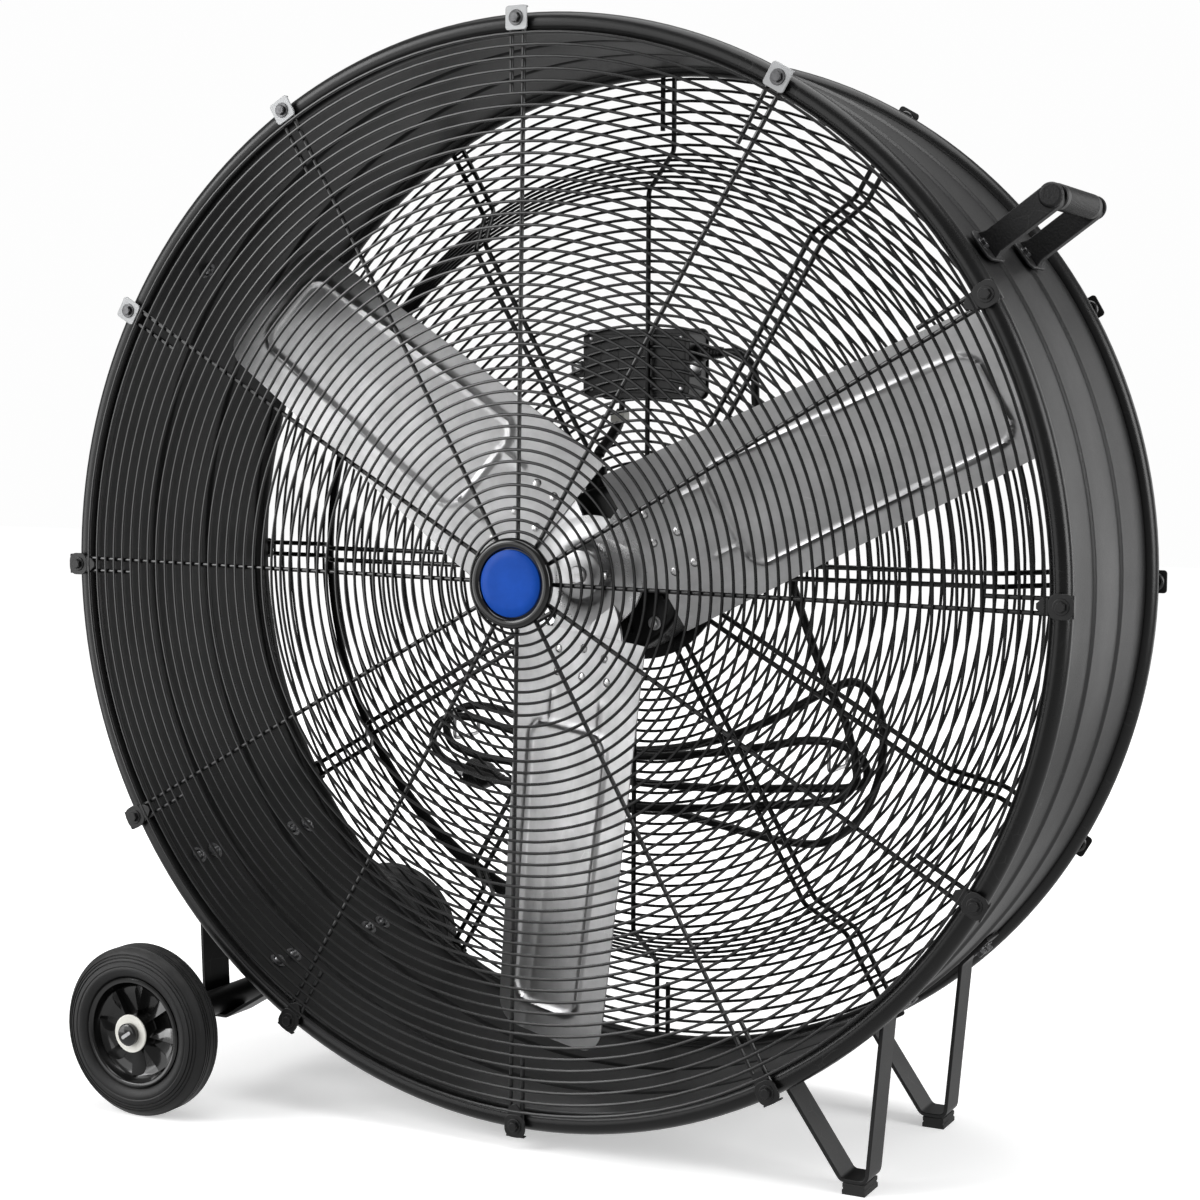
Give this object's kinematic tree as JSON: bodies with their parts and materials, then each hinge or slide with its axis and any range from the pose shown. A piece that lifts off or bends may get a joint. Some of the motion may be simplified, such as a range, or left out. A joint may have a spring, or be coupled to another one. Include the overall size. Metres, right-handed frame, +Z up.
{
  "type": "drum fan",
  "caption": "Wheeled industrial drum fan: round steel drum, wire guards front and back, direct-drive rotor, strap stand with wheels and feet, carrying handle, corded.",
  "frame": {"origin": "on the floor, midway between the two wheels, straight under the fan's axis", "axes": "+Z up, +X to the right seen from the front, +Y from the front guard towards the back along the fan's axis"},
  "size_m": [1.144, 0.5548, 1.157],
  "materials": {
    "blackSheet": "black textured powder coat",
    "blackWire": "black powder coat on steel wire",
    "greyPlate": "light grey paint",
    "aluminium": "rolled aluminium",
    "steel": "zinc plated steel",
    "motorBlack": "black enamel",
    "plastic": "black moulded plastic",
    "rubber": "black rubber",
    "rimPlastic": "black moulded wheel plastic",
    "whiteNylon": "white nylon",
    "badgeBlue": "blue disc",
    "cordRubber": "black cord jacket",
    "copper": "copper windings and steel"
  },
  "bodies": {
    "body": {"drum_shell": "blackSheet", "handle_frame": "blackSheet", "axle_tube": "blackSheet", "wheel_strap_front": "blackSheet", "wheel_strap_rear": "blackSheet", "foot_strap_front": "blackSheet", "foot_strap_rear": "blackSheet", "front_guard": "blackWire", "rear_guard": "blackWire", "badge_bezel": "plastic", "switch_box": "plastic", "switch_box_cover": "plastic", "power_gland": "plastic", "power_plug": "plastic", "badge_disc": "badgeBlue", "motor_front_bell": "motorBlack", "motor_rear_bell": "motorBlack", "motor_shell": "motorBlack", "motor_gland": "motorBlack", "motor_front_bearing": "steel", "motor_rear_bearing": "steel", "cord_hook_left": "steel", "cord_hook_right": "steel", "axle": "steel", "motor_stator": "copper", "motor_lead": "cordRubber", "power_cord": "cordRubber", "cord_hank": "cordRubber", "handle_grip": "rubber", "foot_pad_front": "rubber", "foot_pad_rear": "rubber", "axle_cap_front": "rimPlastic", "axle_cap_rear": "rimPlastic", "wheel_washer_front": "whiteNylon", "wheel_washer_rear": "whiteNylon", "front_clamp_1": "greyPlate", "front_clamp_2": "greyPlate", "front_clamp_3": "blackWire", "front_clamp_4": "blackWire", "front_clamp_5": "blackWire", "front_clamp_6": "blackWire", "front_clamp_7": "blackWire", "front_clamp_8": "blackWire", "front_clamp_9": "blackWire", "front_clamp_10": "blackWire", "front_clamp_11": "greyPlate", "front_clamp_12": "greyPlate"},
    "rotor": {"fan_spider": "aluminium", "blade_1": "aluminium", "blade_2": "aluminium", "blade_3": "aluminium", "motor_shaft": "steel", "motor_rotor_core": "steel"},
    "front_wheel": {"tyre_front": "rubber", "wheel_rim_front": "rimPlastic"},
    "rear_wheel": {"tyre_rear": "rubber", "wheel_rim_rear": "rimPlastic"},
    "knob": {"switch_knob": "plastic"}
  },
  "joints": [
    {"name": "rotor_spin", "type": "hinge", "parent": "body", "child": "rotor", "pos_m": [0, 0, 0.585], "axis": [0, 1, 0], "continuous": true},
    {"name": "front_wheel_spin", "type": "hinge", "parent": "body", "child": "front_wheel", "pos_m": [-0.415, -0.24875, 0.092], "axis": [0, 1, 0], "continuous": true},
    {"name": "rear_wheel_spin", "type": "hinge", "parent": "body", "child": "rear_wheel", "pos_m": [-0.415, 0.24875, 0.092], "axis": [0, 1, 0], "continuous": true},
    {"name": "switch_turn", "type": "hinge", "parent": "body", "child": "knob", "pos_m": [-0.012, 0.17, 0.811], "axis": [0, 1, 0], "range_deg": [0, 120]}
  ]
}
